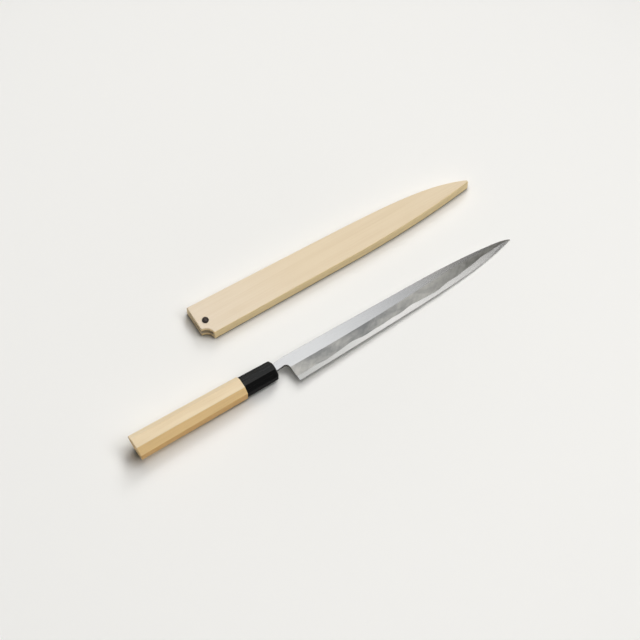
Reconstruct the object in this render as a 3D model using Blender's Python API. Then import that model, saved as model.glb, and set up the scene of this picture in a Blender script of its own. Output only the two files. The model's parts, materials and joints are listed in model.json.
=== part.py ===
"""A sashimi knife with its wooden sheath, taken off and laid beside it.

The knife is a single-bevel slicer. A hard steel layer carries the edge and the hollow back, and a soft
iron layer forge-welded onto it carries the flat, the ridge line, most of the bevel and the tang. The tang
runs through a horn ferrule and a dowel into an eight-sided magnolia handle. The sheath is two glued
halves around a wedge-shaped pocket, with a pin that drops in behind the heel.

Metres, +Z up. +X runs from the butt to the tip, and +Y from the edge to the spine. The knife is modelled
in its own frame, with its zero where the handle's axis meets the ferrule's front face, and the sheath in
one at its mouth. place_on_table() then lays both on Z = 0, with their footprint centred on the origin.
"""
import math

import bmesh
import bpy
from mathutils import Matrix, Vector

# Clearances
GLUE_LINE = 0.0001          # between glued wood and horn faces
WELD_LINE = 0.00002         # between the two forged layers
TANG_FIT = 0.0002           # round the tang, the dowel and the seal
POCKET_FIT = 0.0007         # between the blade and the sheath's pocket, each side
PIN_FIT = 0.0002            # round the pin in its hole
PIN_BEHIND_HEEL = 0.0016    # from the pin to the heel when the knife is sheathed
PIN_BELOW_NECK = 0.0020     # from the pin to the neck then
SEAT_GAP = 0.0001           # under the pin's head

# Blade outline
EDGE_LENGTH = 0.240
HEEL_HEIGHT = 0.0268
SPINE_HEIGHT = 0.0062       # spine above the handle's axis
SPINE_FALL_START = 0.60     # share of the edge length where the spine starts to fall
SPINE_FALL = 0.0054         # long gentle part of the fall
SPINE_NOSE = 0.0025         # short steep part of it at the tip
SPINE_NOSE_POWER = 18
EDGE_LIFT = 0.0096          # straight part of the edge's rise
EDGE_CURVE = 6.5            # power of the curved part
TIP_HEIGHT = 0.0005         # blunt height left at the tip
NECK_LENGTH = 0.0145        # ferrule to the heel's corner
HEEL_LEAN = 0.0014
NOTCH_RADIUS = 0.0040
NECK_LOW = 0.0026           # neck's lower side below the axis at the ferrule
NECK_LOW_RISE = 0.0010
NECK_SPINE_DROP = 0.0012    # spine side of the neck, narrower at the ferrule
STATION_CROWDING = 1.25     # blade sections stand closer together towards the tip

# Blade section
SPINE_THICKNESS = 0.0038
TAPER_MID = 0.32            # share of the thickness lost evenly along the edge
TAPER_TIP = 0.46            # share lost towards the tip
TAPER_TIP_POWER = 6
RIDGE_THINNING = 0.06       # share of the thickness lost from the spine to the ridge line
FLAT_HEIGHT = 0.0122        # spine to ridge line at the heel
FLAT_POWER = 1.1
FLAT_LEAST = 0.12           # smallest share of the blade's height that is flat
SPINE_BEVEL = 0.0003
SPINE_BEVEL_SHARE = 0.2     # and no more than this share of the thickness
EDGE_LAND = 0.00012
HOLLOW_DEPTH = 0.00035
EDGE_RIM = 0.0018
SPINE_RIM = 0.0026
HOLLOW_RUN_IN = 0.012
HOLLOW_RUN_OUT = 0.030
RIM_SHARE = 0.3             # a rim takes no more than this share of the back's height

# Forged layers
STEEL_LAYER = 0.0012
STEEL_SHARE = 0.45          # and no more than this share of the blade's thickness
STEEL_END = 0.0040          # the steel stops this far ahead of the ferrule
WELD_HEIGHT = 0.0042        # weld line above the edge on the bevel
WELD_TIP_HEIGHT = 0.0016    # extra height of the weld line near the tip
WELD_TIP_PLACE = 0.88
WELD_TIP_WIDTH = 0.09
WELD_HIGHEST = 0.62         # highest place of the weld line on the bevel, as a share
IRON_FEATHER = 0.0001       # the iron ends this far above the weld line
WELD_WAVES = (              # wavelength, height, phase
    (0.062, 0.00050, 0.4),
    (0.037, 0.00036, 2.1),
    (0.021, 0.00024, 4.0),
)

# Tang
TANG_LENGTH = 0.100
TANG_END_LOW = 0.0012
TANG_END_HIGH = 0.0030
TANG_END_THICKNESS = 0.0024

# Handle
WOOD_LENGTH = 0.1118        # along the top
BUTT_WIDTH = 0.0230
BUTT_HEIGHT = 0.0213
BUTT_SLANT = math.radians(7)    # the butt is cut back below
JOINT_WIDTH = 0.0196
JOINT_HEIGHT = 0.0200
BUTT_CORNER = 0.0066
JOINT_CORNER = 0.0051
BUTT_EDGE = 0.0008
JOINT_EDGE = 0.0003
LONG_EDGE = 0.0003

# Ferrule
FERRULE_LENGTH = 0.0335
FERRULE_STEP = 0.0006       # the wood stands this much proud of the horn
FERRULE_FRONT_WIDTH = 0.0176
FERRULE_FRONT_HEIGHT = 0.0178
FERRULE_CORNER = 0.0056
FERRULE_ROUND = 0.0022
FERRULE_BACK_EDGE = 0.0001
FERRULE_WALL = 0.0090       # solid horn ahead of the dowel

# Dowel and seal
DOWEL_RADIUS = 0.0060
DOWEL_IN_WOOD = 0.0220
SEAL_DEPTH = 0.0035
SEAL_WALL = 0.0006
SEAL_SINK = 0.0003

# Sheath
SHEATH_LENGTH = 0.287
SHEATH_WIDTH = 0.0347
SHEATH_THICKNESS = 0.0125
SHEATH_END = 0.0020         # width left at the blunt end
SPINE_SIDE_START = 0.52     # share of the length where the spine side turns in
SPINE_SIDE_TURN = 0.0090
SPINE_SIDE_POWER = 2.2
EDGE_SIDE_LEAN = 0.0088
EDGE_SIDE_POWER = 8.5
OUTLINE_CROWDING = 1.5      # outline points stand closer together towards the tip
SHEATH_EDGE = 0.0005
MOUTH_GAP = 0.0010          # ferrule to the sheath's mouth when the knife is sheathed
SPINE_WALL = 0.0021         # sheath's side wall along the spine
POCKET_EDGE_ROOM = 0.0010   # between the cutting edge and the pocket's far side
POCKET_TIP_ROOM = 0.0030
POCKET_EDGE_THICKNESS = 0.0014
POCKET_CROWDING = 1.3       # and so do the pocket's sections
MOUTH_NOTCH_RADIUS = 0.0088 # quarter round cut out of the mouth's spine side

# Pin
PIN_RADIUS = 0.0025
PIN_END_RADIUS = 0.0022
PIN_HEAD_RADIUS = 0.0032
PIN_HEAD_RISE = 0.0020
PIN_SHORT = 0.0004          # the pin's foot stays this far above the table

# Places on the table
SHEATH_BACK = 0.0348        # sheath's mouth behind the ferrule's front face
SHEATH_ASIDE = 0.0586       # sheath's near side from the knife's axis
SHEATH_TURN = math.radians(-0.68)

# Fineness
BLADE_STATIONS = 58
SHEATH_STATIONS = 44
POCKET_STATIONS = 29
ROUND_SIDES = 32
ARC_STEPS = 6
MERGE = 1e-7                # points closer than this become one
CUT_BEYOND = 0.005          # a cutter reaches this far past the face it opens
CUT_OVERLAP = 0.002         # and this far into the next cutter


# Blade outline and surfaces, in the knife's frame

def along(x):
    """Share of the edge length at x, from 0 at the heel to 1 at the tip."""
    return min(1.0, max(0.0, (x - NECK_LENGTH) / EDGE_LENGTH))


def smooth(t):
    t = min(1.0, max(0.0, t))
    return t * t * (3 - 2 * t)


def crowded(share, power):
    """Spreads even shares from 0 to 1 so that they crowd towards 1."""
    return 1 - (1 - share) ** power


def spine_y(x):
    if x < 0:
        t = -x / TANG_LENGTH
        return (SPINE_HEIGHT - NECK_SPINE_DROP) * (1 - t) + TANG_END_HIGH * t
    neck = NECK_SPINE_DROP * (1 - smooth(x / NECK_LENGTH))
    u = max(0.0, (along(x) - SPINE_FALL_START) / (1 - SPINE_FALL_START))
    return SPINE_HEIGHT - neck - SPINE_FALL * u ** 2 - SPINE_NOSE * u ** SPINE_NOSE_POWER


def edge_y(x):
    s = along(x)
    heel = SPINE_HEIGHT - HEEL_HEIGHT
    tip = SPINE_HEIGHT - SPINE_FALL - SPINE_NOSE - TIP_HEIGHT
    return heel + EDGE_LIFT * s + (tip - heel - EDGE_LIFT) * s ** EDGE_CURVE


def ridge_y(x):
    s = along(x)
    flat = FLAT_HEIGHT * (1 - s * s) ** FLAT_POWER
    height = SPINE_HEIGHT - spine_y(max(x, NECK_LENGTH))
    room = SPINE_HEIGHT - height - edge_y(x)
    return SPINE_HEIGHT - height - max(flat, FLAT_LEAST * room)


def weld_y(x):
    """Height of the line where the iron feathers out on the bevel."""
    s = along(x)
    waves = sum(h * math.sin(math.tau * x / length + phase) for length, h, phase in WELD_WAVES)
    rise = WELD_TIP_HEIGHT * math.exp(-((s - WELD_TIP_PLACE) / WELD_TIP_WIDTH) ** 2)
    room = ridge_y(x) - edge_y(x)
    return edge_y(x) + min(WELD_HEIGHT + waves + rise, WELD_HIGHEST * room)


def thickness(x):
    if x < 0:
        t = -x / TANG_LENGTH
        return SPINE_THICKNESS * (1 - t) + TANG_END_THICKNESS * t
    s = along(x)
    return SPINE_THICKNESS * (1 - TAPER_MID * s - TAPER_TIP * s ** TAPER_TIP_POWER)


def back_z(x):
    """The back stays in one plane along the blade; in the handle the tang thins from both sides."""
    return -thickness(x) / 2 if x < 0 else -SPINE_THICKNESS / 2


def front_z(x, y):
    """The flat from the spine to the ridge line, and the bevel from there to the edge."""
    if x < 0:
        return thickness(x) / 2
    t = thickness(x)
    spine, ridge, edge = spine_y(x), ridge_y(x), edge_y(x)
    at_ridge = t * (1 - RIDGE_THINNING)
    if y >= ridge:
        share = (y - ridge) / (spine - ridge)
        return back_z(x) + at_ridge + (t - at_ridge) * share
    share = (y - edge) / (ridge - edge)
    return back_z(x) + EDGE_LAND + (at_ridge - EDGE_LAND) * share


def weld_z(x, y):
    """The forge weld: level under the flat, and down to the weld line on the bevel."""
    low, high = weld_y(x), ridge_y(x)
    level = back_z(x) + min(STEEL_LAYER, STEEL_SHARE * thickness(x))
    if y >= high:
        return level
    start = front_z(x, low)
    return start + (level - start) * (y - low) / (high - low)


def hollow_depth(x):
    run_in = smooth((x - NECK_LENGTH) / HOLLOW_RUN_IN)
    run_out = smooth((NECK_LENGTH + EDGE_LENGTH - x) / HOLLOW_RUN_OUT)
    return HOLLOW_DEPTH * run_in * run_out


def heel_top():
    """Where the notch's arc meets the heel's straight side."""
    return NECK_LENGTH - HEEL_LEAN, -NECK_LOW + NECK_LOW_RISE - NOTCH_RADIUS


def heel_line_x(y):
    x_top, y_top = heel_top()
    return x_top + HEEL_LEAN * (y_top - y) / (y_top - edge_y(NECK_LENGTH))


def blade_stations():
    """Places along X with the lower side there: the tang, the neck, the notch, the heel and the edge."""
    x_top, y_top = heel_top()
    stations = [(-TANG_LENGTH, -TANG_END_LOW), (0.0, -NECK_LOW)]
    start = x_top - NOTCH_RADIUS
    stations.append((STEEL_END, -NECK_LOW + NECK_LOW_RISE * smooth(STEEL_END / start)))
    for i in range(ARC_STEPS + 1):
        turn = i * math.pi / 2 / ARC_STEPS
        stations.append((start + NOTCH_RADIUS * math.sin(turn), y_top + NOTCH_RADIUS * math.cos(turn)))
    for y in (ridge_y(x_top), weld_y(x_top)):
        stations.append((heel_line_x(y), y))
    for i in range(BLADE_STATIONS + 1):
        x = NECK_LENGTH + EDGE_LENGTH * crowded(i / BLADE_STATIONS, STATION_CROWDING)
        stations.append((x, edge_y(x)))
    return stations


# Mesh helpers

def clear_scene():
    for thing in list(bpy.data.objects):
        bpy.data.objects.remove(thing, do_unlink=True)


def material(name, colour, roughness, metallic=0.0):
    made = bpy.data.materials.new(name)
    made.use_nodes = True
    shader = made.node_tree.nodes["Principled BSDF"]
    shader.inputs["Base Color"].default_value = (*colour, 1.0)
    shader.inputs["Roughness"].default_value = roughness
    shader.inputs["Metallic"].default_value = metallic
    return made


def part(name, bm, look, parent, smooth_angle=None):
    """Puts a finished mesh into the scene as one named piece."""
    mesh = bpy.data.meshes.new(name)
    bmesh.ops.recalc_face_normals(bm, faces=bm.faces)
    bm.to_mesh(mesh)
    bm.free()
    if smooth_angle is not None:
        mesh.shade_smooth()
        mesh.set_sharp_from_angle(angle=math.radians(smooth_angle))
    piece = bpy.data.objects.new(name, mesh)
    bpy.context.scene.collection.objects.link(piece)
    piece.parent = parent
    if look:
        mesh.materials.append(look)
    return piece


def empty(name):
    made = bpy.data.objects.new(name, None)
    bpy.context.scene.collection.objects.link(made)
    return made


def cut(piece, name, bm):
    """Takes a shape out of a piece; the shape stays as a hidden wire cutter."""
    cutter = part(name, bm, None, piece.parent)
    cutter.hide_render = True
    cutter.display_type = "WIRE"
    boolean = piece.modifiers.new(name, "BOOLEAN")
    boolean.operation = "DIFFERENCE"
    boolean.solver = "EXACT"
    boolean.object = cutter


def loft(rings):
    """Skins rings of (x, y, z) points, all with the same count, and closes both ends."""
    bm = bmesh.new()
    rows = [[bm.verts.new(p) for p in ring] for ring in rings]
    for a, b in zip(rows, rows[1:]):
        for i in range(len(a)):
            j = (i + 1) % len(a)
            bm.faces.new((a[i], a[j], b[j]))
            bm.faces.new((a[i], b[j], b[i]))
    bm.faces.new(rows[0])
    bm.faces.new(rows[-1])
    bmesh.ops.remove_doubles(bm, verts=bm.verts, dist=MERGE)
    bmesh.ops.dissolve_degenerate(bm, edges=bm.edges, dist=MERGE)
    return bm


def box(low, high):
    bm = bmesh.new()
    size = Vector(high) - Vector(low)
    middle = (Vector(high) + Vector(low)) / 2
    bmesh.ops.create_cube(bm, size=1.0, matrix=Matrix.Translation(middle) @ Matrix.Diagonal((*size, 1.0)))
    return bm


def prism(outline, low, high):
    """Extrudes an outline of (x, y) points from Z = low to Z = high."""
    bm = bmesh.new()
    face = bm.faces.new([bm.verts.new((x, y, low)) for x, y in outline])
    raised = bmesh.ops.extrude_face_region(bm, geom=[face])
    top = [v for v in raised["geom"] if isinstance(v, bmesh.types.BMVert)]
    bmesh.ops.translate(bm, verts=top, vec=(0, 0, high - low))
    return bm


def rod_along_x(x0, x1, radius):
    ring = [(radius * math.cos(a), radius * math.sin(a)) for a in turns(ROUND_SIDES)]
    return loft([[(x, y, z) for y, z in ring] for x in (x0, x1)])


def soften(bm, level, width):
    """Bevels the edges that lie at one height."""
    edges = [e for e in bm.edges if all(abs(v.co.z - level) < MERGE for v in e.verts)]
    bmesh.ops.bevel(bm, geom=edges, offset=width, segments=1, profile=0.5, affect="EDGES")


def turns(count):
    return [math.tau * i / count for i in range(count)]


# Blade

def blade_ring(x, low, layer):
    """One closed section: 'iron' in front of the weld, 'steel' behind it, or 'tang' through both."""
    spine, ridge, edge, weld = spine_y(x), ridge_y(x), edge_y(x), weld_y(x)
    bevel = min(SPINE_BEVEL, SPINE_BEVEL_SHARE * thickness(x))
    back = back_z(x)

    def front(y):
        y = max(y, low)
        return x, y, front_z(x, y)

    def joint(y):
        y = max(y, low)
        return x, y, weld_z(x, y) + (WELD_LINE if layer == "iron" else 0.0)

    if layer == "steel":
        edge_rim = max(low, edge + min(EDGE_RIM, RIM_SHARE * (spine - edge)))
        spine_rim = spine - min(SPINE_RIM, RIM_SHARE * (spine - low))
        depth = hollow_depth(x)
        hollow = []
        for i in range(ARC_STEPS + 1):
            t = i / ARC_STEPS
            rise = 1 - (2 * t - 1) ** 2
            hollow.append((x, edge_rim + (spine_rim - edge_rim) * t, back + depth * rise))
        outer = [(x, spine - bevel, back), (x, spine, back + bevel), (x, spine, weld_z(x, spine))]
        first = (x, max(edge, low), back)
        last = (x, max(edge, low), min(front_z(x, max(edge, low)), weld_z(x, max(weld, low))))
        return [first] + hollow + outer + [joint((spine + ridge) / 2), joint(ridge), joint(weld), last]

    feather = weld + IRON_FEATHER
    middle = (feather + ridge) / 2
    outer = [front(feather), front(middle), front(ridge), front((ridge + spine) / 2),
             (x, spine - bevel, front_z(x, spine)), (x, spine, front_z(x, spine) - bevel)]
    if layer == "tang":
        floor = [(x, spine, back + bevel), (x, spine - bevel, back)]
        return outer + floor + [(x, max((ridge + spine) / 2, low), back), (x, low, back)]
    under = [(x, spine, weld_z(x, spine) + WELD_LINE), joint((spine + ridge) / 2), joint(ridge)]
    tail = front(feather) if feather >= low else joint(low)
    return outer + under + [tail]


def make_blade(parent, iron_look, steel_look):
    stations = blade_stations()
    iron = []
    for x, low in stations:
        if x < STEEL_END:
            iron.append(blade_ring(x, low, "tang"))
        elif x == STEEL_END:
            iron.append(blade_ring(x - WELD_LINE, low, "tang"))
            iron.append(blade_ring(x - WELD_LINE, low, "iron"))
        else:
            iron.append(blade_ring(x, low, "iron"))
    part("iron_blade_body", loft(iron), iron_look, parent, 12)
    steel = [blade_ring(x, low, "steel") for x, low in stations if x >= STEEL_END]
    part("edge_steel", loft(steel), steel_look, parent, 12)


# Handle

def octagon(width, height, corner, shrink):
    """Eight sides drawn in by shrink, with each long edge slightly flattened."""
    w, h = width / 2 - shrink, height / 2 - shrink
    c = corner - shrink * (2 - math.sqrt(2))
    right = [(w - c, h), (w, h - c), (w, c - h), (w - c, -h)]
    corners = right + [(-y, -z) for y, z in right]
    ring = []
    for i, here in enumerate(corners):
        here = Vector(here)
        for other in (Vector(corners[i - 1]), Vector(corners[(i + 1) % 8])):
            ring.append(here + (other - here).normalized() * LONG_EDGE)
    return ring


def eight_sided_bar(x0, x1, size0, size1, round0, round1, slant=0.0):
    """A tapered eight-sided bar with rounded ends; each size is (width, height, corner).

    The slant cuts the end at x0 back below.
    """
    quarter = [i * math.pi / 2 / ARC_STEPS for i in range(ARC_STEPS + 1)]
    places = [(x0 + round0 * (1 - math.cos(t)), round0 * (1 - math.sin(t)), slant) for t in quarter]
    places += [(x1 - round1 * (1 - math.cos(t)), round1 * (1 - math.sin(t)), 0.0) for t in reversed(quarter)]
    rings = []
    for x, shrink, lean in places:
        ring = []
        for i, (_, z) in enumerate(octagon(*sized(x, x0, x1, size0, size1), shrink)):
            place = x + (size0[1] / 2 - z) * math.tan(lean)
            ring.append((place, *octagon(*sized(place, x0, x1, size0, size1), shrink)[i]))
        rings.append(ring)
    return loft(rings)


def sized(x, x0, x1, size0, size1):
    share = (x - x0) / (x1 - x0)
    return [a + (b - a) * share for a, b in zip(size0, size1)]


def tang_slot(x0, x1):
    """A slot round the tang between two places, with the tang's fit all round."""
    low = min(-NECK_LOW, -TANG_END_LOW) - TANG_FIT
    high = max(spine_y(0), TANG_END_HIGH) + TANG_FIT
    half = SPINE_THICKNESS / 2 + TANG_FIT
    return box((x0, low, -half), (x1, high, half))


def make_handle(parent, wood):
    joint = -FERRULE_LENGTH - GLUE_LINE
    butt = -FERRULE_LENGTH - WOOD_LENGTH
    bar = eight_sided_bar(butt, joint, (BUTT_WIDTH, BUTT_HEIGHT, BUTT_CORNER),
                          (JOINT_WIDTH, JOINT_HEIGHT, JOINT_CORNER), BUTT_EDGE, JOINT_EDGE, BUTT_SLANT)
    handle = part("magnolia_handle", bar, wood, parent, 12)
    dowel_end = -FERRULE_LENGTH - DOWEL_IN_WOOD - TANG_FIT
    hole = rod_along_x(dowel_end, joint + CUT_BEYOND, DOWEL_RADIUS + TANG_FIT)
    cut(handle, "cut_handle_dowel_hole", hole)
    cut(handle, "cut_handle_tang_slot", tang_slot(-TANG_LENGTH - TANG_FIT, dowel_end + CUT_OVERLAP))


def make_ferrule(parent, horn):
    back = (JOINT_WIDTH - 2 * FERRULE_STEP, JOINT_HEIGHT - 2 * FERRULE_STEP, FERRULE_CORNER)
    front = (FERRULE_FRONT_WIDTH, FERRULE_FRONT_HEIGHT, FERRULE_CORNER)
    bar = eight_sided_bar(-FERRULE_LENGTH, 0.0, back, front, FERRULE_BACK_EDGE, FERRULE_ROUND)
    ferrule = part("horn_ferrule", bar, horn, parent, 25)
    hole = rod_along_x(-FERRULE_LENGTH - CUT_BEYOND, -FERRULE_WALL, DOWEL_RADIUS + TANG_FIT)
    cut(ferrule, "cut_ferrule_dowel_hole", hole)
    cut(ferrule, "cut_ferrule_tang_slot", tang_slot(-FERRULE_WALL - CUT_OVERLAP, CUT_BEYOND))
    cut(ferrule, "cut_ferrule_seal_seat", seal_block(-SEAL_DEPTH, CUT_BEYOND, TANG_FIT))


def seal_block(x0, x1, grow):
    wall = SEAL_WALL + TANG_FIT + grow
    half = SPINE_THICKNESS / 2 + wall
    return box((x0, -NECK_LOW - wall, -half), (x1, spine_y(0) + wall, half))


def make_seal(parent, resin):
    seal = part("tang_seal", seal_block(-SEAL_DEPTH + TANG_FIT, -SEAL_SINK, 0.0), resin, parent)
    cut(seal, "cut_seal_tang_slot", tang_slot(-SEAL_DEPTH - CUT_BEYOND, CUT_BEYOND))


def make_dowel(parent, wood):
    front = -FERRULE_WALL - TANG_FIT
    back = -FERRULE_LENGTH - DOWEL_IN_WOOD
    dowel = part("handle_dowel", rod_along_x(back, front, DOWEL_RADIUS), wood, parent, 30)
    cut(dowel, "cut_dowel_tang_slot", tang_slot(back - CUT_BEYOND, front + CUT_BEYOND))


# Sheath, in a frame at the spine-side corner of its mouth: X to the tip, Y to the edge side

def spine_side(share):
    u = max(0.0, (share - SPINE_SIDE_START) / (1 - SPINE_SIDE_START))
    return SPINE_SIDE_TURN * u ** SPINE_SIDE_POWER


def edge_side(share):
    end = SPINE_SIDE_TURN + SHEATH_END
    curve = SHEATH_WIDTH - EDGE_SIDE_LEAN - end
    return SHEATH_WIDTH - EDGE_SIDE_LEAN * share - curve * share ** EDGE_SIDE_POWER


def sheath_outline():
    shares = [crowded(i / SHEATH_STATIONS, OUTLINE_CROWDING) for i in range(SHEATH_STATIONS + 1)]
    near = [(SHEATH_LENGTH * s, spine_side(s)) for s in shares]
    far = [(SHEATH_LENGTH * s, edge_side(s)) for s in reversed(shares)]
    return near + far


def sheathed(x, y):
    """Where a point of the knife comes to lie in the sheath, which is turned over beside it."""
    return x - MOUTH_GAP, SPINE_WALL + POCKET_FIT + SPINE_HEIGHT - y


def pocket():
    """The wedge-shaped pocket: level over the blade's back, and closing towards its edge."""
    roof = (SHEATH_THICKNESS + SPINE_THICKNESS) / 2 + POCKET_FIT
    rings = []
    start, stop = MOUTH_GAP - CUT_BEYOND, NECK_LENGTH + EDGE_LENGTH
    for i in range(POCKET_STATIONS + 1):
        x = start + (stop - start) * crowded(i / POCKET_STATIONS, POCKET_CROWDING)
        blade_x = max(x, NECK_LENGTH)
        place, spine = sheathed(x, spine_y(blade_x))
        edge = sheathed(x, edge_y(blade_x))[1] + POCKET_EDGE_ROOM
        ridge = sheathed(x, ridge_y(blade_x))[1]
        floor = roof - thickness(blade_x) - 2 * POCKET_FIT
        if i == POCKET_STATIONS:
            place += POCKET_TIP_ROOM
        near = spine - POCKET_FIT
        thin = roof - POCKET_EDGE_THICKNESS
        section = [(near, roof), (near, floor), (ridge, floor), (edge, thin), (edge, roof)]
        rings.append([(place, y, z) for y, z in section])
    return loft(rings)


def pin_place():
    """Just behind the heel and just below the neck."""
    x_top, _ = heel_top()
    return sheathed(x_top - PIN_BEHIND_HEEL - PIN_RADIUS,
                    -NECK_LOW + NECK_LOW_RISE - PIN_BELOW_NECK - PIN_RADIUS)


def upright(x, y, low, high, radius):
    bm = bmesh.new()
    centre = Matrix.Translation((x, y, (low + high) / 2))
    bmesh.ops.create_cone(bm, cap_ends=True, segments=ROUND_SIDES, radius1=radius, radius2=radius,
                          depth=high - low, matrix=centre)
    return bm


def make_sheath_half(name, low, high, outer, parent, wood):
    """One half between two heights, with its outer face's edges softened."""
    bm = prism(sheath_outline(), low, high)
    soften(bm, outer, SHEATH_EDGE)
    half = part(name, bm, wood, parent)
    x, y = pin_place()
    low_cut, high_cut = -CUT_BEYOND, SHEATH_THICKNESS + CUT_BEYOND
    cut(half, f"cut_{name}_pocket", pocket())
    cut(half, f"cut_{name}_notch", upright(0, 0, low_cut, high_cut, MOUTH_NOTCH_RADIUS))
    cut(half, f"cut_{name}_pin_hole", upright(x, y, low_cut, high_cut, PIN_RADIUS + PIN_FIT))


def make_sheath(parent, wood):
    middle, top = SHEATH_THICKNESS / 2, SHEATH_THICKNESS
    make_sheath_half("sheath_lower_half", 0.0, middle - GLUE_LINE / 2, 0.0, parent, wood)
    make_sheath_half("sheath_upper_half", middle + GLUE_LINE / 2, top, top, parent, wood)


def make_pin(parent, wood):
    """A turned pin: a domed head on a slightly tapered shank."""
    top = SHEATH_THICKNESS + SEAT_GAP
    profile = [(0.0, PIN_SHORT), (PIN_END_RADIUS, PIN_SHORT), (PIN_RADIUS, top), (PIN_HEAD_RADIUS, top)]
    for i in range(1, ARC_STEPS):
        turn = i * math.pi / 2 / ARC_STEPS
        profile.append((PIN_HEAD_RADIUS * math.cos(turn), top + PIN_HEAD_RISE * math.sin(turn)))
    profile.append((0.0, top + PIN_HEAD_RISE))
    bm = bmesh.new()
    verts = [bm.verts.new((r, 0, z)) for r, z in profile]
    edges = [bm.edges.new(pair) for pair in zip(verts, verts[1:])]
    bmesh.ops.spin(bm, geom=verts + edges, cent=(0, 0, 0), axis=(0, 0, 1), angle=math.tau,
                   steps=ROUND_SIDES, use_merge=True)
    bmesh.ops.remove_doubles(bm, verts=bm.verts, dist=MERGE)
    x, y = pin_place()
    pin = part("sheath_pin", bm, wood, parent, 40)
    pin.location = (x, y, 0)


# Placing

def knife_lean():
    """The knife tips forward until its tip meets the table, so it lies on the handle and the tip."""
    tip_x, tip_depth = NECK_LENGTH + EDGE_LENGTH, SPINE_THICKNESS / 2
    rests = [(-FERRULE_LENGTH - JOINT_EDGE, JOINT_HEIGHT / 2), (-FERRULE_ROUND, FERRULE_FRONT_HEIGHT / 2)]
    return max(math.atan2(depth - tip_depth, tip_x - x) for x, depth in rests)


def place_on_table(knife, sheath):
    knife.rotation_euler = (0, knife_lean(), 0)
    sheath.rotation_euler = (0, 0, SHEATH_TURN)
    sheath.location = (-SHEATH_BACK, SHEATH_ASIDE, 0)
    bpy.context.view_layer.update()
    knife.location.z = -lowest(knife)
    bpy.context.view_layer.update()
    corners = [c for group in (knife, sheath) for c in corners_of(group)]
    middle_x = (min(c.x for c in corners) + max(c.x for c in corners)) / 2
    middle_y = (min(c.y for c in corners) + max(c.y for c in corners)) / 2
    for group in (knife, sheath):
        group.location.x -= middle_x
        group.location.y -= middle_y


def corners_of(group):
    """World places of the points of a group's pieces, as their modifiers leave them."""
    graph = bpy.context.evaluated_depsgraph_get()
    points = []
    for piece in group.children:
        if piece.hide_render:
            continue
        mesh = piece.evaluated_get(graph).to_mesh()
        points += [piece.matrix_world @ v.co for v in mesh.vertices]
    return points


def lowest(group):
    return min(p.z for p in corners_of(group))


def main():
    clear_scene()
    iron = material("soft_iron", (0.42, 0.42, 0.41), 0.38, 1.0)
    steel = material("hard_steel", (0.66, 0.66, 0.65), 0.22, 1.0)
    magnolia = material("magnolia", (0.78, 0.60, 0.38), 0.55)
    horn = material("buffalo_horn", (0.012, 0.012, 0.012), 0.30)
    resin = material("dark_resin", (0.03, 0.02, 0.015), 0.6)
    sheath_wood = material("sheath_magnolia", (0.78, 0.63, 0.44), 0.6)
    ebony = material("ebony", (0.03, 0.02, 0.015), 0.4)

    knife = empty("knife")
    make_blade(knife, iron, steel)
    make_handle(knife, magnolia)
    make_ferrule(knife, horn)
    make_seal(knife, resin)
    make_dowel(knife, magnolia)

    sheath = empty("sheath")
    make_sheath(sheath, sheath_wood)
    make_pin(sheath, ebony)
    place_on_table(knife, sheath)


if __name__ == "__main__":
    main()
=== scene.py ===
"""A sashimi knife and its wooden sheath on a pale studio floor."""
import json
import math

import bpy
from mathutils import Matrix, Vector

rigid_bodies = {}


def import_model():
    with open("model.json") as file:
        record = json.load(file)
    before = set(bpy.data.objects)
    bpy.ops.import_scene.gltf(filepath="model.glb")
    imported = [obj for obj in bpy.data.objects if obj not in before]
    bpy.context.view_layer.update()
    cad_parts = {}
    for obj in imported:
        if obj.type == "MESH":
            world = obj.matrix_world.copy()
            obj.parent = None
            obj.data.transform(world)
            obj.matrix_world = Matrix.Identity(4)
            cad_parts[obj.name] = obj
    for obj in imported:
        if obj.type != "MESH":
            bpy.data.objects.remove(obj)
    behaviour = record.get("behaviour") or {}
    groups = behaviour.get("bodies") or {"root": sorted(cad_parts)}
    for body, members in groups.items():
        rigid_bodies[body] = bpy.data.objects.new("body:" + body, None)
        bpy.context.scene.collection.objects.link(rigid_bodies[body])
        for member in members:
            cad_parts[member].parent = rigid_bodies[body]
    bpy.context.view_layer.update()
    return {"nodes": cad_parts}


# Camera, from the photograph: metres and degrees
LOOK_AT = (0.0086, -0.0131, 0.0)
CAMERA_DISTANCE = 2.179
CAMERA_ELEVATION = 63.61
CAMERA_TURN = 32.72
CAMERA_CLIP = (0.05, 20.0)
FOCAL_SHARE = 2412 / 640          # focal length over the picture's width
SENSOR = 36.0

# Floor, and the tone of the room behind it
FLOOR_DROP = 0.0002
FLOOR_SIZE = 12.0
FLOOR_ROUGHNESS = 0.9
FLOOR_COLOUR = (0.87, 0.86, 0.83)
FLOOR_FAR_COLOUR = (0.955, 0.945, 0.915)
FLOOR_LIGHTENS = (0.10, 0.42)     # metres from the middle, to even out the panels' fading
ROOM_COLOUR = (0.84, 0.83, 0.80)

# Painted contact shade: a dark line painted on the floor where something stands on it, standing in for
# its contact shadow
CONTACT_REACH = 0.004             # how far the floor looks round for the object
CONTACT_SAMPLES = 8
CONTACT_RANGE = (0.35, 0.95)      # openness of the floor between which it darkens
PAINTED_CONTACT_SHADE = (0.22, 0.21, 0.20)
BLADE_FROM_X = (-0.065, -0.050)   # the blade hovers, so the floor beside it gets no painted shade
BLADE_BELOW_Y = (0.005, -0.005)

# What polished faces see of the room, by height, and what it adds to the light
ROOM_GLOW_LOW = 0.65
ROOM_GLOW_NEAR = 0.30             # low down on the near side, which the horn mirrors
ROOM_NEAR_SIDE = (-0.95, -0.35)   # how far towards -Y that side begins and ends
ROOM_GLOW_HIGH = 0.10
ROOM_GLOW_FADES = (0.60, 0.82)    # sines of the heights between which the glow fades
ROOM_FILL = (0.015, 0.015, 0.015)

SUN_SPREAD = 26                   # degrees, which sets how soft the shadows are

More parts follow.
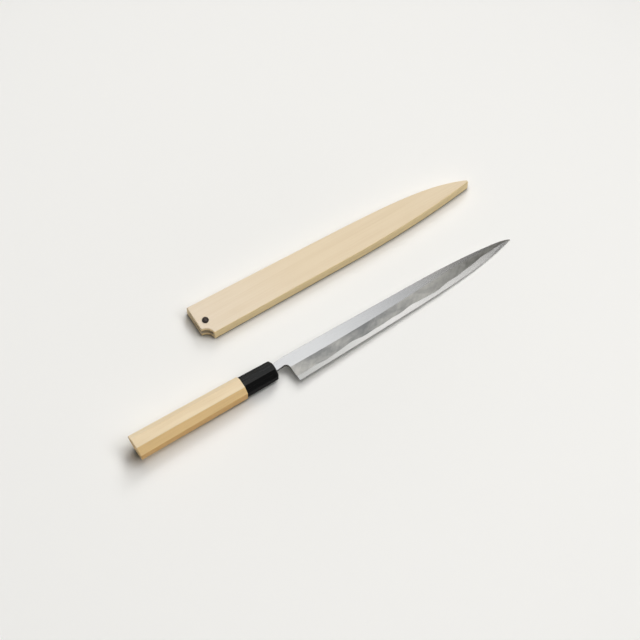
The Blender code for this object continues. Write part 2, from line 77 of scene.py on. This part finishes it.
# Two panels over the object. The blade mirrors their right sides as its fading to the tip
PANEL_HEIGHT = 0.70
PANEL_GLOW = 1.1
PANEL_LEFT = -0.32
PANEL_FRONT = -0.45
PANEL_SPLIT = 0.02
PANEL_BACK = 0.46
FLAT_FADES_AT = 0.39
BEVEL_FADES_AT = 0.52

# Directions that a face's kind is told by
BEVEL_NORMAL_Y = -0.12
WALL_NORMAL = -0.70               # the neck's and notch's walls, which get painted shade
FLANK_NORMAL_Y = -0.45            # the near faces, which get painted light and shade
SIDE_NORMAL_Y = -0.88             # and so do the upright ones
END_NORMAL_X = 0.7                # the wood's end faces
NORMAL_STEP = 0.03

# All noises are tipped off their own grid, and most of a noise's values lie in this band
GRID_TIP = (0.65, 0.40, 0.0)
NOISE_BAND = (0.3, 0.7)
BEVEL_SAMPLES = 6

# Woods. A noise has so many cells a metre along, across and up
SHEATH_TURN = math.radians(-0.68)
PALE_MOUTH = (-0.10, 0.03)        # the sheath's top warms from its pale mouth on
PORE_CELLS = (14, 900, 900)
PORE_BAND = (0.50, 0.75)
PORE_SHARE = 0.22
RING_CELLS = (3.0, 170, 170)
RING_BAND = (0.48, 0.72)
RING_SHARE = 0.14
BLOTCH_CELLS = (22, 60, 60)
BLOTCH_BAND = (0.35, 0.75)
BLOTCH_SHARE = 0.10
WOOD_ROUGHNESS = (0.48, 0.62)
YEAR_RINGS_A_METRE = 90           # where the ends are cut across
YEAR_RINGS_SHARE = (0.02, 0.24)
# The flank and side tones are painted light and shade: the near and upright faces get their own copies
# of the tone, more saturated and darker than the top. The flank tone is also the base of the end grain.
HANDLE_TONES = {
    "start": (0.82, 0.67, 0.45),
    "top": (0.82, 0.67, 0.45),
    "flank_painted_light_and_end_grain": (0.87, 0.61, 0.29),
    "side": (0.79, 0.47, 0.16),
    "vein": (0.56, 0.36, 0.16),
}
# painted light: the sheath's near and upright faces are coloured brighter and more saturated than its
# top
SHEATH_TONES = {
    "start": (0.80, 0.685, 0.535),
    "top": (0.775, 0.64, 0.45),
    "flank_painted_light_and_end_grain": (0.95, 0.745, 0.43),
    "side": (0.99, 0.775, 0.425),
    "vein": (0.60, 0.44, 0.25),
}

# Edge steel
LINE_CELLS = (60, 2600, 2600)
HAZE_CELLS = (25, 90, 90)
HAZE_BAND = (0.35, 0.70)
STEEL_BRIGHT = (0.68, 0.67, 0.65)
STEEL_HAZY = (0.61, 0.61, 0.59)
STEEL_HEEL_PAINTED_SHADE = (0.40, 0.405, 0.39)
STEEL_ROUGHNESS = (0.20, 0.28)
PAINTED_SHADE_AT_HEEL = (-0.07, 0.05)         # its painted shade fades out from the heel on
SOFT_TIP = (0.170, 0.190)         # the last stretch, where the bevel rounds up to the tip
SOFT_TIP_RADIUS = (0.0002, 0.0015)
# A dark line painted along the cutting edge as shade
EDGE_LINE_PAINTED_SHADE = (0.15, 0.145, 0.135)
EDGE_SHADE_RADIUS = 0.0005             # reach of the painted shade line at the cutting edge
EDGE_SHADE_NORMAL_Y = (-0.75, -0.35)
EDGE_SHADE_ENDS = (0.145, 0.175)       # the stretch where it dies away towards the tip

# Soft iron: its flat
SATIN_CELLS = (40, 2200, 2200)
FLAT_LIGHT = (0.64, 0.645, 0.65)
FLAT_DEEP = (0.60, 0.605, 0.61)
FLAT_PAINTED_DIM = (0.515, 0.52, 0.525)
FLAT_PAINTED_DIMMING = (-0.01, 0.07)       # its reflection is painted dimmer from the heel on
FLAT_PAINTED_BRIGHT = (0.60, 0.59, 0.57)
FLAT_PAINTED_BRIGHTENING = (0.085, 0.13)      # and painted a little brighter again before the tip
# painted shade on the neck's and notch's walls
WALL_PAINTED_SHADE = (0.13, 0.13, 0.125)
FLAT_ROUGHNESS = 0.25
BEVEL_ROUGHNESS = 0.32

# Soft iron: its misty bevel, where each layer adds to the shade
MIST_LIGHT = (0.465, 0.455, 0.425)
MIST_DARK = (0.20, 0.205, 0.205)
# the dark tone at the tip, part of its painted shade
MIST_PAINTED_SHADE_TIP = (0.205, 0.198, 0.175)
CLOUD_CELLS = (38, 95, 95)
CLOUD_BAND = (0.35, 0.65)
CLOUD_SHADE = 0.55
PAINTED_PATCH_AT = 0.036                # a dark patch painted on the bevel as shade, where it mirrors less: its middle, how far it reaches and how dark it is
PAINTED_PATCH_REACH = 0.055
PAINTED_PATCH_SHADE = 0.62
PAINTED_SHADE_TO_TIP = (0.06, 0.20)           # painted shade: the bevel is coloured darker to the tip
PAINTED_TIP_SHADE = 0.6
STROKE_CELLS = (380, 40, 40)
STROKE_TURN = math.radians(52)
STROKE_BAND = (0.45, 0.75)
STROKE_SHADE = -0.20
MOTTLE_CELLS = (190, 240, 240)
MOTTLE_BAND = (0.30, 0.70)
MOTTLE_SHADE = 0.16
WEDGE_AT = -0.015                 # the middle of the dark wedge under the ridge
WEDGE_FADES = (0.006, 0.018)      # and how far from there it dies away
WEDGE_ACROSS = (-0.051, -0.042)   # from its lower end up to the ridge
WEDGE_SHADE = 0.68                # its strength in the middle

# Horn
STREAK_CELLS = (18, 420, 420)
STREAK_BAND = (0.45, 0.80)
HORN_BLACK = (0.011, 0.0115, 0.0115)
HORN_STREAK = (0.018, 0.017, 0.016)
# painted shade: the horn's near faces are coloured darker than its black
HORN_NEAR_PAINTED_SHADE = (0.001, 0.001, 0.001)
HORN_ROUGHNESS = (0.22, 0.32)
HORN_SATIN = 0.55                 # roughness that its upright and far faces have more
HORN_SHINE = 0.20                 # specular level

# Pin and seal
FIBRE_CELLS = (900, 900, 120)
GRAIN_CELLS = (800, 800, 800)
DARK_BAND = (0.4, 0.7)
EBONY_DEEP = (0.014, 0.009, 0.007)
EBONY_LIGHT = (0.055, 0.034, 0.024)
EBONY_ROUGHNESS = (0.16, 0.26)
RESIN_DEEP = (0.020, 0.014, 0.010)
RESIN_LIGHT = (0.040, 0.028, 0.020)
RESIN_ROUGHNESS = (0.50, 0.65)


class Nodes:
    """A node tree with short ways to add nodes and to feed its output shader."""

    def __init__(self, tree, out):
        self.tree = tree
        self.out = tree.nodes[out]

    def set(self, socket, value):
        """Sets a value of the shader itself."""
        self.out.inputs[socket].default_value = value

    def to(self, socket, value):
        """Feeds the shader with another node's result."""
        self.feed(self.out.inputs[socket], value)

    def feed(self, socket, value):
        """Links a result to a socket, or writes a number or a colour there."""
        if isinstance(value, bpy.types.NodeSocket):
            self.tree.links.new(value, socket)
        elif socket.type == "RGBA":
            socket.default_value = (*value, 1.0)
        else:
            socket.default_value = value

    def add(self, kind, inputs=None, **settings):
        node = self.tree.nodes.new(kind)
        for name, value in settings.items():
            setattr(node, name, value)
        for name, value in (inputs or {}).items():
            self.feed(node.inputs[name], value)
        return node

    def spread(self, value, low, high, to_low=0.0, to_high=1.0):
        """Maps low..high to to_low..to_high, held at both ends."""
        ends = {"From Min": low, "From Max": high, "To Min": to_low, "To Max": to_high}
        return self.add("ShaderNodeMapRange", {"Value": value, **ends}).outputs["Result"]

    def math(self, operation, a, b=0.0):
        return self.add("ShaderNodeMath", {0: a, 1: b}, operation=operation).outputs["Value"]

    def total(self, first, *others):
        """The sum of some values."""
        for other in others:
            first = self.math("ADD", first, other)
        return first

    def mix(self, share, a, b):
        """The first colour, with a share of the second."""
        node = self.add("ShaderNodeMix", data_type="RGBA")
        colours = [s for s in node.inputs if s.type == "RGBA"]
        self.feed(node.inputs["Factor"], share)
        self.feed(colours[0], a)
        self.feed(colours[1], b)
        return next(s for s in node.outputs if s.type == "RGBA")

    def point(self):
        """The point in the model's own frame."""
        return self.add("ShaderNodeTexCoord").outputs["Object"]

    def along(self, axis="X"):
        """How far along an axis of the model the point is."""
        return self.part(self.point(), axis)

    def part(self, vector, axis):
        return self.add("ShaderNodeSeparateXYZ", {"Vector": vector}).outputs[axis]


class Shader(Nodes):
    """A material for one finish."""

    def __init__(self, name):
        self.material = bpy.data.materials.new(name)
        self.material.use_nodes = True
        super().__init__(self.material.node_tree, "Principled BSDF")

    def noise(self, cells, turn=0.0, detail=3.0, rough=0.5, distortion=0.0):
        """Noise with so many cells a metre along each axis, turned about Z."""
        point = self.point()
        if turn:
            point = self.add("ShaderNodeVectorRotate", {"Vector": point, "Angle": turn},
                             rotation_type="Z_AXIS").outputs["Vector"]
        place = self.add("ShaderNodeMapping", {"Vector": point, "Scale": cells, "Rotation": GRID_TIP})
        inputs = {"Vector": place.outputs["Vector"], "Scale": 1.0}
        inputs.update({"Detail": detail, "Roughness": rough, "Distortion": distortion})
        return self.add("ShaderNodeTexNoise", inputs).outputs["Fac"]

    def facing(self, axis, level):
        """1 where the face's own normal is past a level along an axis, counted away from 0."""
        step = math.copysign(NORMAL_STEP, level)
        normal = self.add("ShaderNodeNewGeometry").outputs["True Normal"]
        return self.spread(self.part(normal, axis), level - step, level + step)

    def rounded(self, radius):
        """The normal that the surface would have with its edges rounded by a radius."""
        node = self.add("ShaderNodeBevel", {"Radius": radius}, samples=BEVEL_SAMPLES)
        return node.outputs["Normal"]

    def distance_from(self, place):
        """How far the point is from a place along the model, to either side."""
        return self.math("ABSOLUTE", self.math("SUBTRACT", self.along(), place))

    def roughness(self, noise, low, high):
        self.to("Roughness", self.spread(noise, *NOISE_BAND, low, high))

    def bump(self, height, strength, distance, soften=None):
        """Relief over the faces, whose edges may be rounded by a radius."""
        node = self.add("ShaderNodeBump", {"Height": height, "Strength": strength, "Distance": distance})
        if soften is not None:
            self.feed(node.inputs["Normal"], self.rounded(soften))
        self.to("Normal", node.outputs["Normal"])

    def year_rings(self):
        """Shares of darker wood where the fibres are cut across: rings round a far heart."""
        inputs = {"Vector": self.point(), "Scale": YEAR_RINGS_A_METRE}
        inputs.update({"Distortion": 1.5, "Detail": 2.0, "Detail Scale": 1.2})
        wave = self.add("ShaderNodeTexWave", inputs,
                        wave_type="RINGS", rings_direction="X", wave_profile="SAW")
        return self.spread(wave.outputs["Fac"], 0.0, 1.0, *YEAR_RINGS_SHARE)


def studio():
    """Makes the floor, the camera, the lamps and the room's glow."""
    add_floor()
    add_camera()
    sun("key_near", azimuth=-43, elevation=47, strength=0.52)
    sun("key_side", azimuth=0, elevation=60, strength=0.76)
    sun("key_back", azimuth=40, elevation=40, strength=1.03)
    sun("key_top", azimuth=65, elevation=62, strength=0.36)
    panel("panel_back", (PANEL_LEFT, PANEL_SPLIT), (FLAT_FADES_AT, PANEL_BACK))
    panel("panel_front", (PANEL_LEFT, PANEL_FRONT), (BEVEL_FADES_AT, PANEL_SPLIT))
    room()
    bpy.context.scene.view_settings.view_transform = "Standard"


def add_floor():
    """A wide level sheet just under the object."""
    mesh = bpy.data.meshes.new("floor")
    h = FLOOR_SIZE / 2
    corners = [(x, y, -FLOOR_DROP) for x, y in ((-h, -h), (h, -h), (h, h), (-h, h))]
    mesh.from_pydata(corners, [], [(0, 1, 2, 3)])
    floor = bpy.data.objects.new("floor", mesh)
    bpy.context.scene.collection.objects.link(floor)
    mesh.materials.append(floor_paper())


def floor_paper():
    """Matt paper that lightens outwards, with a painted contact shade where something stands on it."""
    s = Shader("floor_paper")
    away = s.add("ShaderNodeVectorMath", {0: s.point()}, operation="LENGTH").outputs["Value"]
    tone = s.mix(s.spread(away, *FLOOR_LIGHTENS), FLOOR_COLOUR, FLOOR_FAR_COLOUR)
    # painted shade: the floor is coloured dark where the object stands close by, as its contact shadow
    near = s.add("ShaderNodeAmbientOcclusion", {"Distance": CONTACT_REACH}, samples=CONTACT_SAMPLES)
    below = s.spread(s.along("Y"), *BLADE_BELOW_Y)
    blade = s.math("MULTIPLY", s.spread(s.along(), *BLADE_FROM_X), below)
    unshaded = s.math("MAXIMUM", s.spread(near.outputs["AO"], *CONTACT_RANGE), blade)
    s.to("Base Color", s.mix(unshaded, PAINTED_CONTACT_SHADE, tone))
    s.set("Roughness", FLOOR_ROUGHNESS)
    s.set("Specular IOR Level", 0.0)
    return s.material


def add_camera():
    """The photograph's view."""
    e, t = math.radians(CAMERA_ELEVATION), math.radians(CAMERA_TURN)
    back = Vector((-math.sin(t) * math.cos(e), -math.cos(t) * math.cos(e), math.sin(e)))
    lens = bpy.data.cameras.new("camera")
    lens.sensor_width = SENSOR
    lens.lens = FOCAL_SHARE * SENSOR
    lens.clip_start, lens.clip_end = CAMERA_CLIP
    camera = bpy.data.objects.new("camera", lens)
    camera.location = Vector(LOOK_AT) + back * CAMERA_DISTANCE
    camera.rotation_mode = "QUATERNION"
    camera.rotation_quaternion = (-back).to_track_quat("-Z", "Y")
    bpy.context.scene.collection.objects.link(camera)
    bpy.context.scene.camera = camera


def sun(name, azimuth, elevation, strength):
    """A distant soft lamp that metal doesn't mirror; azimuth 0 shines from +X and 90 from +Y."""
    lamp = bpy.data.lights.new(name, "SUN")
    lamp.energy = strength
    lamp.angle = math.radians(SUN_SPREAD)
    holder = bpy.data.objects.new(name, lamp)
    a, e = math.radians(azimuth), math.radians(elevation)
    towards = Vector((math.cos(a) * math.cos(e), math.sin(a) * math.cos(e), math.sin(e)))
    holder.rotation_mode = "QUATERNION"
    holder.rotation_quaternion = towards.to_track_quat("Z", "Y")
    holder.visible_glossy = False
    bpy.context.scene.collection.objects.link(holder)


def panel(name, low, high):
    """A level soft panel over the object, between two corners."""
    lamp = bpy.data.lights.new(name, "AREA")
    lamp.shape = "RECTANGLE"
    lamp.size, lamp.size_y = high[0] - low[0], high[1] - low[1]
    lamp.energy = PANEL_GLOW * math.pi * lamp.size * lamp.size_y
    holder = bpy.data.objects.new(name, lamp)
    holder.location = ((low[0] + high[0]) / 2, (low[1] + high[1]) / 2, PANEL_HEIGHT)
    holder.visible_camera = False
    bpy.context.scene.collection.objects.link(holder)


def room():
    """The room: a plain tone to the eye, a glow to polished faces, and a little fill."""
    world = bpy.data.worlds.new("studio")
    world.use_nodes = True
    bpy.context.scene.world = world
    n = Nodes(world.node_tree, "Background")
    way = n.add("ShaderNodeTexCoord").outputs["Generated"]
    low = n.spread(n.part(way, "Y"), *ROOM_NEAR_SIDE, ROOM_GLOW_NEAR, ROOM_GLOW_LOW)
    glow = n.spread(n.part(way, "Z"), *ROOM_GLOW_FADES, low, ROOM_GLOW_HIGH)
    ray = n.add("ShaderNodeLightPath").outputs
    mirrored = n.math("MAXIMUM", ray["Is Glossy Ray"], ray["Is Transmission Ray"])
    tone = n.mix(mirrored, ROOM_FILL, glow)
    n.to("Color", n.mix(ray["Is Camera Ray"], tone, ROOM_COLOUR))
    n.set("Strength", 1.0)


def wood(name, tones, turn=0.0):
    """Straight-grained pale wood with fine pores, faint rings and soft blotches, and painted light and
    shade on its near and upright faces.
    """
    s = Shader(name)
    vein = tones["vein"]
    pores = s.noise(PORE_CELLS, turn, detail=4.0, rough=0.6)
    rings = s.noise(RING_CELLS, turn, detail=2.0)
    blotch = s.noise(BLOTCH_CELLS, turn)
    tone = s.mix(s.spread(s.along(), *PALE_MOUTH), tones["start"], tones["top"])
    # painted light and shade: the near and upright faces take their own copies of the tone
    tone = s.mix(s.facing("Y", FLANK_NORMAL_Y), tone, tones["flank_painted_light_and_end_grain"])
    tone = s.mix(s.facing("Y", SIDE_NORMAL_Y), tone, tones["side"])
    tone = s.mix(s.spread(blotch, *BLOTCH_BAND, 0.0, BLOTCH_SHARE), tone, vein)
    tone = s.mix(s.spread(rings, *RING_BAND, 0.0, RING_SHARE), tone, vein)
    tone = s.mix(s.spread(pores, *PORE_BAND, 0.0, PORE_SHARE), tone, vein)
    ends = s.math("MAXIMUM", s.facing("X", END_NORMAL_X), s.facing("X", -END_NORMAL_X))
    cut = s.mix(s.year_rings(), tones["flank_painted_light_and_end_grain"], vein)
    s.to("Base Color", s.mix(ends, tone, cut))
    s.roughness(pores, *WOOD_ROUGHNESS)
    s.bump(pores, strength=0.2, distance=0.0002, soften=0.0006)
    return s.material


def steel():
    """The edge's hard layer, bright with whetstone lines along the blade, with painted shade at the heel
    and as a dark line at the cutting edge.
    """
    s = Shader("hard_steel")
    lines = s.noise(LINE_CELLS)
    haze = s.noise(HAZE_CELLS)
    bright = s.mix(s.spread(haze, *HAZE_BAND), STEEL_BRIGHT, STEEL_HAZY)
    # painted shade: the steel is coloured darker at the heel, dimming its reflection
    bright = s.mix(s.spread(s.along(), *PAINTED_SHADE_AT_HEEL), STEEL_HEEL_PAINTED_SHADE, bright)
    # painted shade: a dark line along the cutting edge
    off_edge = s.spread(s.part(s.rounded(EDGE_SHADE_RADIUS), "Y"), *EDGE_SHADE_NORMAL_Y)
    plain = s.math("MAXIMUM", off_edge, s.spread(s.along(), *EDGE_SHADE_ENDS))
    s.to("Base Color", s.mix(plain, EDGE_LINE_PAINTED_SHADE, bright))
    s.set("Metallic", 1.0)
    s.roughness(lines, *STEEL_ROUGHNESS)
    soft = s.spread(s.along(), *SOFT_TIP, *SOFT_TIP_RADIUS)
    s.bump(lines, strength=0.06, distance=0.0001, soften=soft)
    return s.material


def iron():
    """The soft layer: satin on the flat, misty on the bevel, with painted shade on the walls."""
    s = Shader("soft_iron")
    bevel = s.facing("Y", BEVEL_NORMAL_Y)
    shaded_walls = s.math("MAXIMUM", s.facing("Y", WALL_NORMAL), s.facing("X", WALL_NORMAL))
    satin = s.noise(SATIN_CELLS)
    polished = s.mix(bevel, flat_tone(s, satin), mist_tone(s))
    # painted shade: the walls are coloured dark
    s.to("Base Color", s.mix(shaded_walls, polished, WALL_PAINTED_SHADE))
    s.set("Metallic", 1.0)
    s.to("Roughness", s.spread(bevel, 0.0, 1.0, FLAT_ROUGHNESS, BEVEL_ROUGHNESS))
    s.bump(satin, strength=0.08, distance=0.0001)
    return s.material


def flat_tone(s, satin):
    """The flat's finely lined metal, with its reflection painted dimmer and then a little brighter along
    the blade.
    """
    tone = s.mix(s.spread(satin, *NOISE_BAND), FLAT_LIGHT, FLAT_DEEP)
    tone = s.mix(s.spread(s.along(), *FLAT_PAINTED_DIMMING), tone, FLAT_PAINTED_DIM)
    return s.mix(s.spread(s.along(), *FLAT_PAINTED_BRIGHTENING), tone, FLAT_PAINTED_BRIGHT)


def mist_tone(s):
    """The bevel's mist with clouds, strokes, mottling and the wedge under the ridge, and painted shade
    as a dark patch and a darkening to the tip.
    """
    cloud = s.noise(CLOUD_CELLS, detail=4.0, distortion=0.6)
    strokes = s.noise(STROKE_CELLS, STROKE_TURN, detail=2.0)
    mottle = s.noise(MOTTLE_CELLS, detail=5.0, rough=0.65)
    across = s.spread(s.along("Y"), *WEDGE_ACROSS)
    lengthwise = s.spread(s.distance_from(WEDGE_AT), *WEDGE_FADES, WEDGE_SHADE, 0.0)
    shade = s.total(
        s.spread(cloud, *CLOUD_BAND, 0.0, CLOUD_SHADE),
        # painted shade: a dark patch on the bevel, where it mirrors less
        s.spread(s.distance_from(PAINTED_PATCH_AT), 0.0, PAINTED_PATCH_REACH, PAINTED_PATCH_SHADE, 0.0),
        # painted shade: darker to the tip
        s.spread(s.along(), *PAINTED_SHADE_TO_TIP, 0.0, PAINTED_TIP_SHADE),
        s.spread(strokes, *STROKE_BAND, 0.0, STROKE_SHADE),
        s.spread(mottle, *MOTTLE_BAND, -MOTTLE_SHADE, MOTTLE_SHADE),
        s.math("MULTIPLY", across, lengthwise),
    )
    # painted shade: the dark tone turns warmer towards the tip
    dark = s.mix(s.spread(s.along(), *PAINTED_SHADE_TO_TIP), MIST_DARK, MIST_PAINTED_SHADE_TIP)
    return s.mix(s.spread(shade, 0.0, 1.0), MIST_LIGHT, dark)


def horn():
    """Black horn with faint streaks and painted shade on its near faces, polished above and satin on its
    upright and far faces.
    """
    s = Shader("buffalo_horn")
    streak = s.noise(STREAK_CELLS, detail=4.0, rough=0.6, distortion=0.4)
    tone = s.mix(s.spread(streak, *STREAK_BAND), HORN_BLACK, HORN_STREAK)
    # painted shade: the near faces take a darker black
    s.to("Base Color", s.mix(s.facing("Y", FLANK_NORMAL_Y), tone, HORN_NEAR_PAINTED_SHADE))
    sides = s.math("MAXIMUM", s.facing("Y", SIDE_NORMAL_Y), s.facing("Y", -FLANK_NORMAL_Y))
    satin = s.spread(sides, 0.0, 1.0, 0.0, HORN_SATIN)
    s.to("Roughness", s.total(s.spread(streak, *NOISE_BAND, *HORN_ROUGHNESS), satin))
    s.set("Specular IOR Level", HORN_SHINE)
    s.bump(streak, strength=0.06, distance=0.0001, soften=0.0008)
    return s.material


def dark_wood():
    """Oiled ebony for the pin."""
    s = Shader("ebony")
    fibre = s.noise(FIBRE_CELLS, detail=4.0)
    s.to("Base Color", s.mix(s.spread(fibre, *DARK_BAND), EBONY_DEEP, EBONY_LIGHT))
    s.roughness(fibre, *EBONY_ROUGHNESS)
    s.bump(fibre, strength=0.15, distance=0.0001, soften=0.0005)
    return s.material


def resin():
    """Dark hard-set resin round the tang."""
    s = Shader("dark_resin")
    grain = s.noise(GRAIN_CELLS)
    s.to("Base Color", s.mix(s.spread(grain, *DARK_BAND), RESIN_DEEP, RESIN_LIGHT))
    s.roughness(grain, *RESIN_ROUGHNESS)
    s.bump(grain, strength=0.2, distance=0.0001, soften=0.0003)
    return s.material


def dress(frame):
    """Gives every CAD node its look."""
    handle = wood("handle_magnolia", HANDLE_TONES)
    looks = {
        "edge_steel": steel(),
        "iron_blade_body": iron(),
        "horn_ferrule": horn(),
        "magnolia_handle": handle,
        "handle_dowel": handle,
        "tang_seal": resin(),
        "sheath_lower_half": wood("sheath_magnolia_lower", SHEATH_TONES, -SHEATH_TURN),
        "sheath_upper_half": wood("sheath_magnolia_upper", SHEATH_TONES, -SHEATH_TURN),
        "sheath_pin": dark_wood(),
    }
    for name, look in looks.items():
        mesh = frame["nodes"][name].data
        mesh.materials.clear()
        mesh.materials.append(look)


for thing in list(bpy.data.objects):
    bpy.data.objects.remove(thing, do_unlink=True)
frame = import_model()
studio()
dress(frame)
